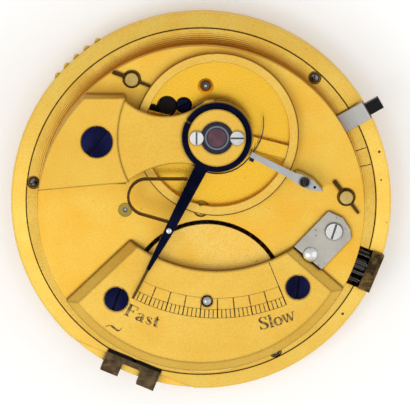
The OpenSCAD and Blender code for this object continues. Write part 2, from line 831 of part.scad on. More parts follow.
module escape_wheel() {
    root_r = escape_r - 0.85;
    rim = root_r - 0.5;
    z = lever_z0 + lever_t;
    pitch = 360 / escape_n;
    outline = [
        for (i = [0:escape_n - 1])
            let (a = i * pitch)
                each [polar(root_r, a + 2), polar(escape_r, a - 5), polar(escape_r, a - 2.5),
                      polar(root_r, a + 12)]
    ];
    color(gilt) at(escape_at) difference() {
        union() {
            difference() {
                translate([0, 0, lever_z0]) linear_extrude(lever_t) polygon(outline);
                disc(rim, lever_z0 - over, z + over);
            }
            disc(0.8, lever_z0, z);
            for (i = [0:3])
                bar(i * 90, rim + 0.1, 0.5, lever_z0, z);
        }
        disc(0.3, lever_z0 - over, z + over);
    }
}

// Room of one pallet stone, side is -1 at entry and 1 at exit
module stone(side) {
    at(escape_at) rotate([0, 0, pallet_mid + side * pallet_span / 2])
        translate([escape_r + pallet_clear, -stone_w / 2, lever_z0 + 0.05])
            cube([stone_l, stone_w, lever_t - 0.1]);
}

bank_r = 0.2;
bank_reach = 4;
fork_w = 1;
bank_offset = fork_w / 2 + (bank_reach + bank_r) * sin(lever_swing) + slide_gap + bank_r;
module lever() {
    z = lever_z0 + lever_t;
    bar_w = 0.7;
    reach = escape_r + pallet_clear + 0.7;
    fork_l = 4.7;
    color(steel) difference() {
        union() {
            at(pallet_at) {
                disc(0.8, lever_z0, z);
                bar(fork_dir, fork_l - 0.6, 0.6, lever_z0, z);
                rotate([0, 0, fork_dir]) translate([fork_l - 1, 0, lever_z0]) linear_extrude(lever_t)
                    polygon([[0, -0.3], [0.5, -fork_w / 2], [1, -0.45], [1, 0.45], [0.5, fork_w / 2],
                             [0, 0.3]]);
                bar(fork_dir + 180, 1.9, 0.6, lever_z0, z);
            }
            for (side = [-1, 1]) {
                seat = escape_at + polar(reach, pallet_mid + side * pallet_span / 2);
                at(pallet_at)
                    bar(heading(pallet_at, seat), norm(seat - pallet_at) + 0.25, bar_w, lever_z0, z);
            }
        }
        at(pallet_at) {
            disc(0.35, lever_z0 - over, z + over);
            rotate([0, 0, fork_dir]) translate([fork_l - 0.55, -0.2, lever_z0 - over])
                cube([1, 0.4, lever_t + 2 * over]);
        }
        stone(-1);
        stone(1);
    }
}

module pallet_stones() {
    color(ruby) {
        stone(-1);
        stone(1);
    }
}

module pallet_arbor() {
    color(steel) at(pallet_at) {
        disc(0.15, plate_z - 0.8, plate_z + 0.2);
        disc(0.35, plate_z + slide_gap, top_z0 - slide_gap);
        disc(0.15, top_z0 - 0.2, top_z - 0.35);
    }
}

module pallet_jewel() {
    color(ruby) at(pallet_at) ring(0.6, 0.15 + pivot_play, top_z0, oil_sink_z);
}

module banking_pins() {
    color(gilt) at(pallet_at) rotate([0, 0, fork_dir])
        for (side = [-1, 1])
            translate([bank_reach, side * bank_offset, 0]) disc(bank_r, plate_z - 0.8, lever_z0 + lever_t);
}

module escape_cock() {
    z0 = top_z0 - 0.6;
    ends = [escape_pin_at, escape_screw_at];
    color(steel) difference() {
        union() {
            at(escape_at) disc(0.93, z0, top_z0 + 0.4);
            at(ends[0])
                bar(heading(ends[0], ends[1]), norm(ends[1] - ends[0]), 0.85, z0 + 0.05, top_z0 - 0.05);
            for (p = ends)
                at(p) disc(0.6, z0, top_z0);
        }
        at(escape_at) disc(0.15 + pivot_play, z0 - over, top_z0);
        at(escape_screw_at) disc(0.3, z0 - over, top_z0 + over);
    }
}

module escape_cock_screw() {
    color(blued) at(escape_screw_at) screw(0.65, 0.6, 0.3, top_z - 0.8, top_z0 - 0.6, 30);
}

// Balance

module potence() {
    z0 = roller_z0 - 2.5;
    arm_h = 0.7;
    color(gilt) difference() {
        union() {
            at(potence_at) disc(1.1, z0, top_z0);
            at(balance_at) {
                disc(1, z0, z0 + arm_h);
                bar(heading(balance_at, potence_at), norm(potence_at - balance_at), 1.4, z0, z0 + arm_h);
            }
        }
        at(balance_at) disc(0.5, z0 + 0.2, z0 + arm_h + over);
    }
}

module balance_jewels() {
    low_z0 = roller_z0 - 2.3;
    color(ruby) at(balance_at) {
        ring(0.5, 0.12 + pivot_play, low_z0, low_z0 + 0.5);
        ring(0.6, 0.12 + pivot_play, table_z - 0.3, table_z + 0.1);
    }
}

module balance_staff() {
    low_z = roller_z0 - 2.2;
    color(steel) at(balance_at) rotate_extrude() polygon([
        [0, low_z], [0.12, low_z], [0.12, low_z + 0.45], [0.3, low_z + 0.7], [0.3, roller_z0],
        [0.45, roller_z0], [0.45, roller_z0 + 0.45], [0.6, roller_z0 + 0.45], [0.6, rim_z0 - 0.25],
        [1, rim_z0 - 0.25], [1, rim_z0], [0.55, rim_z0], [0.55, rim_z0 + rim_t], [0.45, rim_z0 + rim_t],
        [0.45, spring_z0 - 0.1], [1, spring_z0 - 0.1], [1, spring_z0 + spring_h + 0.1],
        [0.3, spring_z0 + spring_h + 0.1], [0.3, table_z0 + 0.1], [0.12, table_z - 0.4],
        [0.12, table_z + 0.25], [0, table_z + 0.25]
    ]);
}

module roller() {
    color(steel) at(balance_at) {
        ring(1.2, 0.45, roller_z0, roller_z0 + 0.45);
        translate(concat(polar(0.85, fork_dir + 180), [0])) disc(0.15, roller_z0 - 0.1, roller_z0 + 0.1);
    }
}

module balance_wheel() {
    z = rim_z0 + rim_t;
    arm_w = 1.5;
    arm_dirs = [-14.5, 165.5];
    notch_dirs = [93, -103];
    spoke_z0 = rim_z0 + 0.06;
    color(gilt) at(balance_at) difference() {
        union() {
            ring(balance_r, balance_r - rim_w, rim_z0, z);
            disc(1.5, rim_z0, z);
            for (a = arm_dirs)
                bar(a, balance_r - rim_w / 2, arm_w, spoke_z0, spoke_z0 + 0.28);
        }
        disc(0.55, rim_z0 - over, z + over);
        for (a = notch_dirs, r = [balance_r + 0.05, balance_r - rim_w - 0.05])
            at(polar(r, a)) disc(0.2, rim_z0 - over, z + over);
    }
}

spring_r0 = 1.1;
spring_r1 = spring_r0 + spring_pitch * spring_turns;
spring_steps = 36;
spare_steps = 5;
spare_rise = 1.1;
module balance_spring() {
    last = spring_turns * spring_steps;
    function spare(i) = spare_rise * max(0, i - last) / spare_steps;
    function reach(i) = spring_r0 + spring_pitch * i / spring_steps + spare(i);
    function p(i, side) = polar(reach(i) + side * spring_t / 2, stud_dir + 360 * (i - last) / spring_steps);
    mid = [for (i = [0:last + spare_steps]) p(i, 0)];
    gaps = [for (i = [0:len(mid) - spring_steps - 1]) norm(mid[i + spring_steps] - mid[i]) - spring_t];
    echo(least_gap_of_balance_spring = min(gaps));
    inner = [for (i = [0:last + spare_steps]) p(i, -1)];
    outer = [for (i = [0:last + spare_steps]) p(i, 1)];
    color(blued) at(balance_at, spring_z0) linear_extrude(spring_h) polygon(concat(outer, flip(inner)));
}

module balance_stud() {
    clamp_r = spring_r1 + spring_t / 2;
    color(blued) at(balance_at) rotate([0, 0, stud_dir])
        translate([clamp_r, -0.8, spring_z0]) cube([0.5, 0.75, arm_z0 - spring_z0]);
}

module stud_arm() {
    foot_x = 4.9;
    tip_x = 8.46;
    foot_w = 1.14;
    color(steel) difference() {
        at(stud_at) rotate([0, 0, stud_dir]) {
            translate([0, 0, arm_z0]) linear_extrude(arm_z - arm_z0)
                polygon([[-0.4, -0.3], [foot_x, -0.42], [foot_x, 0.42], [-0.4, 0.3]]);
            translate([0, 0, top_z]) linear_extrude(arm_z - top_z)
                polygon([[foot_x, -0.44], [5.5, -foot_w / 2], [7, -foot_w / 2], [tip_x, 0], [7, foot_w / 2],
                         [5.5, foot_w / 2], [foot_x, 0.44]]);
        }
        at(stud_at) rotate([0, 0, stud_dir]) {
            translate([6.2, 0, 0]) disc(0.3, top_z - over, arm_z + over);
            translate([7.45, 0, 0]) disc(0.15, arm_z - 0.6, arm_z + over);
        }
    }
}

module stud_arm_screw() {
    color(steel) at(stud_at) rotate([0, 0, stud_dir]) translate([6.2, 0, 0])
        screw(0.52, 0.35, 0.3, arm_z, top_z - 1, -56);
}

// Cock

module balance_cock() {
    step_r = 10.8;
    neck_top = [-3.87, 17.1];
    neck_low = [-2.3, -3.55];
    color(gilt) difference() {
        union() {
            difference() {
                intersection() {
                    disc(top_r, top_z, foot_z);
                    translate([0, 0, top_z - over]) linear_extrude(cock_h + 2 * over)
                        polygon([[-20, 2.25], [-7.7, 3.4], [-7, 8], [-8.3, 12.63], [-20, 12.63]]);
                }
                at(balance_at) disc(step_r, top_z - over, foot_z + over);
            }
            difference() {
                translate([-9.6, 3.2, table_z0]) cube([11, 9.2, table_t]);
                at(neck_top) disc(6.5, table_z0 - over, table_z + over);
                at(neck_low) disc(9, table_z0 - over, table_z + over);
            }
            at(balance_at) {
                disc(index_r + 0.12, table_z0, table_z);
                disc(boss_r, table_z - 0.1, boss_z);
            }
        }
        at(balance_at) {
            disc(0.6, table_z - 0.3, boss_z + over);
            disc(0.4, table_z0 - over, table_z);
            disc(1.78, boss_z - 0.3, boss_z + over);
            for (side = [-1, 1])
                translate([side * 2.2, 0, 0]) disc(0.35, table_z0 + 0.2, boss_z + over);
        }
        at(cock_screw_at) {
            disc(0.8, top_z - over, foot_z + over);
            disc(1.7, foot_z - 0.6, foot_z + over);
        }
    }
}

module cock_screw() {
    color(blued) at(cock_screw_at) screw(1.7, 0.7, 0.8, foot_z - 0.6, top_z0 + 0.3, 52);
}

module endstone_setting() {
    color(steel) at(balance_at) ring(1.78, 1, boss_z - 0.3, boss_z);
}

module endstone() {
    color(ruby) at(balance_at) {
        disc(1, boss_z - 0.3, boss_z);
        disc(0.6, table_z + 0.3, boss_z - 0.2);
    }
}

module endstone_screws() {
    slots = [90, 0];
    color(steel) at(balance_at) for (i = [0:1])
        translate([(2 * i - 1) * 2.2, 0, 0]) screw(0.75, 0.3, 0.35, boss_z, table_z0 + 0.2, slots[i]);
}

// Regulator

pointer_l = 3.66;
arm_end = pointer_reach - pointer_l;
rivet_reach = 11.48;
index_t = 0.45;
bend_drop = 1.7;
module index_frame() {
    at(balance_at) rotate([0, 0, index_dir]) children();
}

module pointer_shape() {
    start = arm_end - 0.4;
    slope = 6.5;
    translate([start, 0, table_z + index_t / 2 - bend_drop]) rotate([0, 90 + slope, 0])
        cylinder(r1 = 0.16, r2 = 0.14, h = pointer_reach - start);
}

module regulator() {
    bend = rivet_reach + 0.6;
    split_w = 0.25;
    z1 = table_z + index_t;
    color(blued) {
        difference() {
            union() {
                at(balance_at) disc(index_r, table_z, z1);
                index_frame() intersection() {
                    translate([0, 0, table_z - 4]) linear_extrude(8)
                        polygon([[3, -0.75], [rivet_reach, -0.5], [arm_end, -0.2], [arm_end, 0.2],
                                 [rivet_reach, 0.5], [3, 0.75]]);
                    translate([0, 3, 0]) rotate([90, 0, 0]) linear_extrude(6)
                        polygon([[3, table_z], [bend, table_z], [arm_end, table_z - bend_drop],
                                 [arm_end, z1 - bend_drop], [bend, z1], [3, z1]]);
                }
            }
            at(balance_at) {
                disc(index_r - index_w, table_z - over, z1 + over);
                rotate([0, 0, 152]) translate([index_r - 1, -split_w / 2, table_z - over])
                    cube([2, split_w, index_t + 2 * over]);
            }
            index_frame() {
                pointer_shape();
                translate([rivet_reach, 0, 0]) disc(0.3, table_z - over, z1 + over);
            }
        }
    }
}

module pointer() {
    color(bronze) index_frame() pointer_shape();
}

// Bimetal strip bent to a U, riveted under the arm
module compensation_curb() {
    t = 0.28;
    h = 0.8;
    bow_at = [-5.95, 1.75];
    bow_r = 1.97;
    free_x = -1.48;
    leg_dir = 253;
    foot_end = [-3, -1.15];
    z0 = table_z - h;
    outer = concat([[free_x, bow_at.y + bow_r + t / 2]], arc(bow_at, bow_r + t / 2, 90, leg_dir, 16),
                   [foot_end + polar(t / 2, leg_dir)]);
    inner = concat([[free_x, bow_at.y + bow_r - t / 2]], arc(bow_at, bow_r - t / 2, 90, leg_dir, 16),
                   [foot_end - polar(t / 2, leg_dir)]);
    color(gilt) {
        translate([0, 0, z0]) linear_extrude(h) polygon(concat(outer, flip(inner)));
        index_frame() {
            translate([rivet_reach - 1.2, -0.4, table_z - 0.3]) cube([1.7, 0.8, 0.3]);
            translate([rivet_reach, 0, 0]) disc(0.3, table_z - 0.2, table_z + index_t + 0.08);
        }
    }
}

// Bolt

tail_z = plate_z + 0.35;
module case_bolt() {
    end_w = bolt_w * 0.68;
    color(steel) rotate([0, 0, bolt_dir]) difference() {
        union() {
            translate([bolt_in_r, -bolt_w / 2, bolt_z0])
                cube([edge_r - bolt_in_r, bolt_w, tail_z - bolt_z0]);
            translate([bolt_step_r, -bolt_w / 2, bolt_z0])
                cube([edge_r - bolt_step_r, bolt_w, bolt_z - bolt_z0]);
            translate([edge_r - 0.1, -end_w / 2, bolt_z0 + 0.2])
                cube([1.8, end_w, bolt_z - bolt_z0 - 0.4]);
        }
        translate([bolt_screw_r, -0.45 - pivot_play, bolt_z0 - over])
            cube([bolt_travel, 0.9 + 2 * pivot_play, 3]);
        for (x = [0, bolt_travel])
            translate([bolt_screw_r + x, 0, bolt_z0 - over]) cylinder(r = 0.45 + pivot_play, h = 3);
    }
}

module bolt_spring() {
    t = 0.2;
    h = 0.6;
    r = 4;
    foot = 0.55;
    bow_at = polar(bolt_in_r - t - slide_gap - r, bolt_dir);
    outer = arc(bow_at, r + t, bolt_dir - 12, bolt_dir + 70, 16);
    inner = arc(bow_at, r, bolt_dir - 12, bolt_dir + 70, 16);
    color(blued) {
        translate([0, 0, plate_z + 0.1]) linear_extrude(h) polygon(concat(outer, flip(inner)));
        at(bow_at + polar(r + t / 2, bolt_dir + 72)) disc(foot, plate_z, plate_z + 0.1 + h);
    }
}

brass_edge();
pillar_plate();
top_plate();
barrel_bridge();
bridge_screws();
pillars();
pillar_pins();
edge_screws();
hinge_joint();
winding_sleeve();
balance_cock();
cock_screw();
endstone_setting();
endstone();
endstone_screws();
stud_arm();
stud_arm_screw();
balance_stud();
balance_spring();
potence();
balance_jewels();
third_bush();
pallet_jewel();
escape_cock();
escape_cock_screw();
winding_bridge();
crown_stud();
shoulder_screws();
click_spring();
bolt_spring();
banking_pins();
barrel_drum();
barrel_cap();
mainspring();
barrel_arbor();
ratchet_wheel();
click();
crown_wheel();
winding_pinion();
centre_arbor();
centre_wheel();
cannon_pinion();
minute_wheel();
hour_wheel();
third_arbor();
third_wheel();
fourth_arbor();
fourth_wheel();
escape_arbor();
escape_wheel();
lever();
pallet_stones();
pallet_arbor();
balance_wheel();
balance_staff();
roller();
regulator();
pointer();
compensation_curb();
case_bolt();
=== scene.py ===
import math

import bmesh
import bpy
from mathutils import Matrix, Vector


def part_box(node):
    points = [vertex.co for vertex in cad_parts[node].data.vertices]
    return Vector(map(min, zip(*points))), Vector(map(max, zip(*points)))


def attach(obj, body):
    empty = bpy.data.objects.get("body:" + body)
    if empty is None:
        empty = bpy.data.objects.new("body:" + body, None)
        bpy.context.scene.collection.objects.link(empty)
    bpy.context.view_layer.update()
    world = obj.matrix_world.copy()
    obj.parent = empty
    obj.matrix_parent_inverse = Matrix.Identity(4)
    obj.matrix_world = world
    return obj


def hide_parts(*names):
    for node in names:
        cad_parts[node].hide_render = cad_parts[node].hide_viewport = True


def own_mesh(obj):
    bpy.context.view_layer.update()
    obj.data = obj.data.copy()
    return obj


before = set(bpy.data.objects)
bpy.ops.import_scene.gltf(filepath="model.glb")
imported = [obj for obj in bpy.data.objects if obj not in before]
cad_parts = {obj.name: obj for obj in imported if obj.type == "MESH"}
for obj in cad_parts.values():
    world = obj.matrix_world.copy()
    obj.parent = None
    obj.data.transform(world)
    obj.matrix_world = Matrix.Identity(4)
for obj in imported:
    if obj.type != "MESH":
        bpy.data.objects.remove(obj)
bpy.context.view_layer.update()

# Brass edge
# The turned brass ring that the movement sits in, gilded, with a polished flange on top.
# The flange carries fine turning lines, and three thin black discs on it are painted shade for small pin holes.


class Tone:
    """One output in a finish's node tree. Sums, products and powers of tones add Math nodes."""

    def __init__(self, tree, out=None):
        self.tree = tree
        self.out = out

    def node(self, kind, settings=None, sockets=None, out=0):
        made = self.tree.nodes.new("ShaderNode" + kind)
        for key, value in (settings or {}).items():
            if key == "stops":
                while len(made.color_ramp.elements) < len(value):
                    made.color_ramp.elements.new(0.5)
                for stop, (place, shade) in zip(made.color_ramp.elements, value):
                    stop.position, stop.color = place, (shade, shade, shade, 1)
            else:
                setattr(made, key, value)
        for key, value in (sockets or {}).items():
            if isinstance(value, Tone):
                self.tree.links.new(value.out, made.inputs[key])
            else:
                made.inputs[key].default_value = value
        return Tone(self.tree, made.outputs[out])

    def sum(self, operation, a, b):
        return self.node("Math", {"operation": operation}, {0: a, 1: b})

    def __add__(self, other):
        return self.sum("ADD", self, other)

    __radd__ = __add__

    def __sub__(self, other):
        return self.sum("SUBTRACT", self, other)

    def __rsub__(self, other):
        return self.sum("SUBTRACT", other, self)

    def __mul__(self, other):
        return self.sum("MULTIPLY", self, other)

    __rmul__ = __mul__

    def __pow__(self, other):
        return self.sum("POWER", self, other)

    def place(self):
        return self.node("TexCoord", out="Object")

    def mapped(self, **changes):
        return self.node("Mapping", {}, {"Vector": self, **changes})

    def along(self, axis):
        return self.node("SeparateXYZ", {}, {0: self}, axis)

    def noise(self, scale, detail, rough=0.5):
        return self.node("TexNoise", {}, {"Vector": self, "Scale": scale, "Detail": detail, "Roughness": rough})

    def vector(self, operation, other=(0, 0, 0), out="Value"):
        return self.node("VectorMath", {"operation": operation}, {0: self, 1: other}, out)

    def blend(self, first, second, share):
        first, second = [c if isinstance(c, Tone) else (*c, 1) for c in (first, second)]
        return self.node("Mix", {"data_type": "RGBA"}, {0: share, 6: first, 7: second}, 2)

    def dyed(self, colour, share):
        return self.blend(self, colour, share)

    def ramp(self, *stops):
        return self.node("ValToRGB", {"stops": stops}, {0: self})

    def feed(self, shader, socket):
        self.tree.links.new(self.out, shader.inputs[socket])

    def emboss(self, shader, strength, depth, normal):
        relief = {"Strength": strength, "Distance": depth, "Height": self, "Normal": normal}
        self.node("Bump", {}, relief).feed(shader, "Normal")


def finish(name, **even):
    """A new finish, its shader and an empty tone; even sets what is the same all over."""
    made = bpy.data.materials.new(name)
    made.use_nodes = True
    shader = made.node_tree.nodes["Principled BSDF"]
    for key, value in even.items():
        shader.inputs[key.replace("_", " ")].default_value = value
    return made, shader, Tone(made.node_tree)


def sharp_edges(tone, width, spread=4):
    """Normals rounded over the sharp edges, and a mask that is 1 along them."""
    round_off = tone.node("Bevel", {"samples": 4}, {"Radius": width})
    bend = round_off.vector("DOT_PRODUCT", tone.node("NewGeometry", out="Normal"))
    return round_off, ((1 - bend) * spread).ramp((0.0, 0.0), (0.6, 1.0))


def gilt(name, pale, deep, centre=(0, 0), turned=0.0, rough=0.36, soiled=0.5, slope_shade=0.0, wall_shade=0.6,
         bounce_reach=0.0, shade_ring_from=99.0, outline=0.00011, overlay_shade=None):
    """Gilded brass: frosted grain, clouds of deeper gold, painted brown shade in corners and, where turned, rings.

    Upright and sloped faces are painted darker as shade. Near the centre, out to a given reach in mm, the gold
    is painted brighter and more orange as bounce light; beyond a second radius in mm it is painted brown as shade.
    A given function makes the colour and the mask of painted shade that lies over the rest.
    """
    bounce_gold, grain_gold = (1.0, 0.58, 0.04), [c * 0.72 for c in deep]
    slope_shade_brown, wall_shade_brown, rim_shade_brown = (0.42, 0.27, 0.035), (0.2, 0.07, 0.012), (0.1, 0.035, 0.008)
    speck_brown, edge_brown, crease_shade_brown = (0.25, 0.12, 0.03), (0.26, 0.13, 0.025), (0.07, 0.025, 0.005)
    made, shader, tone = finish(name, Metallic=0.92)
    place = tone.place().mapped(Location=(-centre[0], -centre[1], 0))
    clouds = place.noise(210, 5, 0.6)
    grain = place.noise(6500, 2)
    specks = place.noise(1150, 3, 0.7).ramp((0.69, 0.0), (0.77, 1.0)) * soiled
    streaks = place.mapped(Rotation=(0, 0, 0.6), Scale=(70, 2600, 300)).noise(1, 3)
    streaks = streaks.ramp((0.66, 0.0), (0.74, 1.0))
    rings = tone.node("TexWave", {"wave_type": "RINGS", "rings_direction": "Z"},
                      {"Vector": place, "Scale": 1500, "Distortion": 1.2, "Detail": 2, "Detail Scale": 0.4})
    # Painted shade: ambient occlusion darkens corners and creases to brown.
    crease_shade = tone.node("AmbientOcclusion", {"samples": 6}, {"Distance": 0.0004}, "AO")
    crease_shade = crease_shade.ramp((0.4, 1.0), (0.88, 0.0))
    round_off, edge = sharp_edges(tone, outline, 20)
    level = tone.node("NewGeometry", out="Normal").along("Z") ** 2
    reach = place.vector("MULTIPLY", (1, 1, 0), "Vector").vector("LENGTH") * 1000
    # Painted bounce light: near the centre the gold is brighter and more orange.
    bounce_zone = (bounce_reach - reach).ramp((0.0, 0.0), (0.6, 1.0))
    colour = tone.blend(pale, deep, clouds.ramp((0.36, 0.0), (0.66, 1.0)))
    colour = colour.dyed(bounce_gold, bounce_zone * 0.8)
    colour = colour.dyed(grain_gold, grain.ramp((0.4, 0.0), (0.7, 1.0)) * 0.4)
    # Painted shade: sloped and upright faces are darkened by how they face.
    colour = colour.dyed(slope_shade_brown, level.ramp((0.56, 1.0), (0.85, 0.0)) * slope_shade)
    colour = colour.dyed(wall_shade_brown, level.ramp((0.01, 1.0), (0.12, 0.0)) * wall_shade)
    colour = colour.dyed(speck_brown, specks)
    colour = colour.dyed(edge_brown, edge * 0.7)
    # Painted shade: a brown band beyond a given radius from the centre.
    colour = colour.dyed(rim_shade_brown, (reach - shade_ring_from).ramp((0.0, 0.0), (0.08, 1.0)) * 0.85)
    colour = colour.dyed(crease_shade_brown, crease_shade * 0.9)
    # Painted shade laid over the rest by a given function.
    if overlay_shade:
        colour = colour.dyed(*overlay_shade(tone.place()))
    colour.feed(shader, "Base Color")
    (rough + clouds * 0.12 - edge * 0.1 + specks * 0.2 - bounce_zone * 0.18).feed(shader, "Roughness")
    (grain * (1 - turned * 0.7) + rings * turned + streaks * 0.35).emboss(shader, 0.25, 0.00002, round_off)
    return made


def engraved(name, fill, worn):
    """Black wax in a cut line, worn back to the gilding in places; laid over a hole it is painted shade."""
    bare_gilt = (0.55, 0.33, 0.06)
    made, shader, tone = finish(name, Metallic=0.0)
    crumbs = tone.place().noise(4200, 2)
    colour = tone.blend(fill, bare_gilt, crumbs.ramp((worn - 0.12, 0.0), (worn + 0.12, 1.0)))
    colour.feed(shader, "Base Color")
    (0.55 + crumbs * 0.3).feed(shader, "Roughness")
    return made


def dress(made, *names):
    """Gives solids their finish."""
    for name in names:
        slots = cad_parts[name].data.materials
        slots.clear()
        slots.append(made)


def lay_out(name, data):
    """A new object at the origin; a piece has its place in its mesh."""
    made = bpy.data.objects.new(name, data)
    bpy.context.scene.collection.objects.link(made)
    return made


dress(gilt("polished_gilt", (1.0, 0.7, 0.142), (0.98, 0.612, 0.1), turned=0.6, rough=0.4, soiled=0.9, wall_shade=0.3),
      "brass_edge")

black_line = engraved("black_line", (0.04, 0.022, 0.007), 0.62)
hole_depth = 0.00004
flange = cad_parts["brass_edge"].evaluated_get(bpy.context.evaluated_depsgraph_get())
# Thin black discs laid on the flange are painted shade for three pin holes.
hole_shade = bmesh.new()
for x, y, radius in ((0.01966, 0.00551, 0.00015), (0.01988, 0.00239, 0.0001), (0.01568, -0.01257, 0.00016)):
    spot, facing = flange.ray_cast(Vector((x, y, 1)), Vector((0, 0, -1)))[1:3]
    seat = Matrix.Translation(spot) @ facing.to_track_quat("Z", "Y").to_matrix().to_4x4()
    bmesh.ops.create_cone(hole_shade, cap_ends=True, segments=20, radius1=radius, radius2=radius,
                          depth=hole_depth, matrix=seat)
hole_shade_mesh = bpy.data.meshes.new("pin_holes")
hole_shade.to_mesh(hole_shade_mesh)
hole_shade.free()
hole_shade_mesh.materials.append(black_line)
pin_holes = lay_out("pin_holes", hole_shade_mesh)
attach(pin_holes, "frame")

# Pillar plate
# The plate behind the dial, turned in brass and gilded. Its margin shows as a polished band
# inside the edge, with two fine lines cut across it beside the case bolt.
dress(gilt("band_gilt", (0.93, 0.61, 0.12), (0.82, 0.49, 0.07), turned=0.5, rough=0.1, wall_shade=0.4), "pillar_plate")


class Steps:
    """A tree of geometry steps with named sizes."""

    def __init__(self, name):
        self.tree = bpy.data.node_groups.new(name, "GeometryNodeTree")
        self.tree.interface.new_socket("Geometry", in_out="OUTPUT", socket_type="NodeSocketGeometry")
        self.given = self.tree.nodes.new("NodeGroupInput")
        self.sizes = {}

    def size(self, name, value, kind="Float"):
        made = self.tree.interface.new_socket(name, in_out="INPUT", socket_type="NodeSocket" + kind)
        self.sizes[made.identifier] = value
        return self.given.outputs[name]

    def step(self, kind, sockets=None, settings=None):
        made = self.tree.nodes.new(kind)
        for key, value in (settings or {}).items():
            setattr(made, key, value)
        for key, value in (sockets or {}).items():
            if isinstance(value, bpy.types.NodeSocket):
                self.tree.links.new(value, made.inputs[key])
            else:
                made.inputs[key].default_value = value
        return made.outputs[0]

    def sum(self, operation, a, b=0.0):
        return self.step("ShaderNodeMath", {0: a, 1: b}, {"operation": operation})

    def mesh(self, name, geometry, made):
        whole = self.step("GeometryNodeRealizeInstances", {0: geometry})
        whole = self.step("GeometryNodeSetMaterial", {"Geometry": whole, "Material": made})
        end = self.tree.nodes.new("NodeGroupOutput")
        self.tree.links.new(whole, end.inputs[0])
        blank = lay_out(name, bpy.data.meshes.new(name + "_blank"))
        steps = blank.modifiers.new("steps", "NODES")
        steps.node_group = self.tree
        for key, value in self.sizes.items():
            steps[key] = value
        ready = blank.evaluated_get(bpy.context.evaluated_depsgraph_get())
        plain = bpy.data.meshes.new_from_object(ready)
        blank.modifiers.remove(steps)
        blank.data = plain
        return blank


cut_depth = 0.00003


def ticks(name, count, inner, outer, width, middle, ends):
    """Fine radial lines round a point, evenly spread between two angles."""
    steps = Steps(name)
    n = steps.size("Count", count, "Int")
    near, far = steps.size("Inner", inner), steps.size("Outer", outer)
    start, sweep = steps.size("Start", ends[0]), steps.size("Sweep", ends[1] - ends[0])
    share = steps.sum("DIVIDE", steps.step("GeometryNodeInputIndex"), steps.sum("SUBTRACT", n, 1.0))
    turn = steps.sum("ADD", start, steps.sum("MULTIPLY", share, sweep))
    half_way = steps.sum("MULTIPLY", steps.sum("ADD", near, far), 0.5)
    spot = steps.step("ShaderNodeCombineXYZ", {
        "X": steps.sum("MULTIPLY", half_way, steps.sum("COSINE", turn)),
        "Y": steps.sum("MULTIPLY", half_way, steps.sum("SINE", turn))})
    row = steps.step("GeometryNodePoints", {"Count": n, "Position": spot})
    block = steps.step("ShaderNodeCombineXYZ", {
        "X": steps.sum("SUBTRACT", far, near), "Y": steps.size("Width", width),
        "Z": steps.size("Depth", cut_depth)})
    line = steps.step("GeometryNodeMeshCube", {"Size": block})
    turned = steps.step("ShaderNodeCombineXYZ", {"Z": turn})
    row = steps.step("GeometryNodeInstanceOnPoints", {"Points": row, "Instance": line, "Rotation": turned})
    row = steps.step("GeometryNodeTransform", {"Geometry": row, "Translation": middle})
    return steps.mesh(name, row, black_line)


band_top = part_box("pillar_plate")[1].z
band_joint = ticks("band_joint", 2, inner=0.01795, outer=0.0192, width=0.00009, middle=(0, 0, band_top),
                   ends=(math.radians(12.6), math.radians(18.4)))
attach(band_joint, "frame")

# Edge screws
# Three small steel screws in the band, which hold the pillar plate in the brass edge.
# Their heads are polished and have gone dark.


def corner_shade(tone):
    """A mask that is 1 in the corners of steel pieces, where shade is painted."""
    return tone.node("AmbientOcclusion", {"samples": 6}, {"Distance": 0.0003}, "AO").ramp((0.5, 1.0), (0.9, 0.0))


def steel(name, shade, rough=0.28, brushed=0.5, along=0.0):
    """Steel, stoned along one way, with small dark pits."""
    pit_brown, edge_highlight, shade_black = (0.05, 0.04, 0.035), (0.9, 0.9, 0.88), (0.012, 0.01, 0.008)
    made, shader, tone = finish(name, Metallic=1.0)
    place = tone.place()
    lines = place.mapped(Rotation=(0, 0, along), Scale=(300, 9000, 900)).noise(1, 3)
    clouds = place.noise(500, 4)
    pits = place.noise(2600, 2).ramp((0.68, 0.0), (0.75, 1.0))
    round_off, edge = sharp_edges(tone, 0.00005)
    colour = tone.blend(shade, [c * 0.72 for c in shade], clouds.ramp((0.35, 0.0), (0.7, 1.0)))
    colour = colour.dyed([c * 0.8 for c in shade], lines * brushed)
    colour = colour.dyed(pit_brown, pits * 0.6)
    # Painted highlight: the edges are lightened.
    colour = colour.dyed(edge_highlight, edge * 0.5)
    # Painted shade: the corners are darkened.
    colour.dyed(shade_black, corner_shade(tone)).feed(shader, "Base Color")
    (rough + lines * 0.15 + pits * 0.3).feed(shader, "Roughness")
    (lines * brushed - pits).emboss(shader, 0.2, 0.00002, round_off)
    return made


dress(steel("dark_polish", (0.24, 0.23, 0.22), rough=0.1, brushed=0.1), "edge_screws")

# Barrel
# A brass drum with its cap and great wheel, which show through the round opening of the top plate.
# The cap is dusty and pale, with turning lines round the arbor, and the drum's upper wall, where
# the opening shows it, is painted black as shade in the gap. A blued mainspring lies inside.
barrel_at = (0.00065, -0.01005)
drum_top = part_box("barrel_drum")[1].z
shaded_drum_depth = 0.004


def drum_gap_shade(place):
    """Painted black shade on the upper wall of the drum, on the side towards the middle of the plate."""
    up = (place.along("Z") - (drum_top - shaded_drum_depth)) * 1000
    inward = (place.along("Y") - barrel_at[1]) * 1000
    return (0.008, 0.005, 0.003), up.ramp((0.0, 0.0), (0.05, 1.0)) * inward.ramp((0.0, 0.0), (1.0, 1.0))


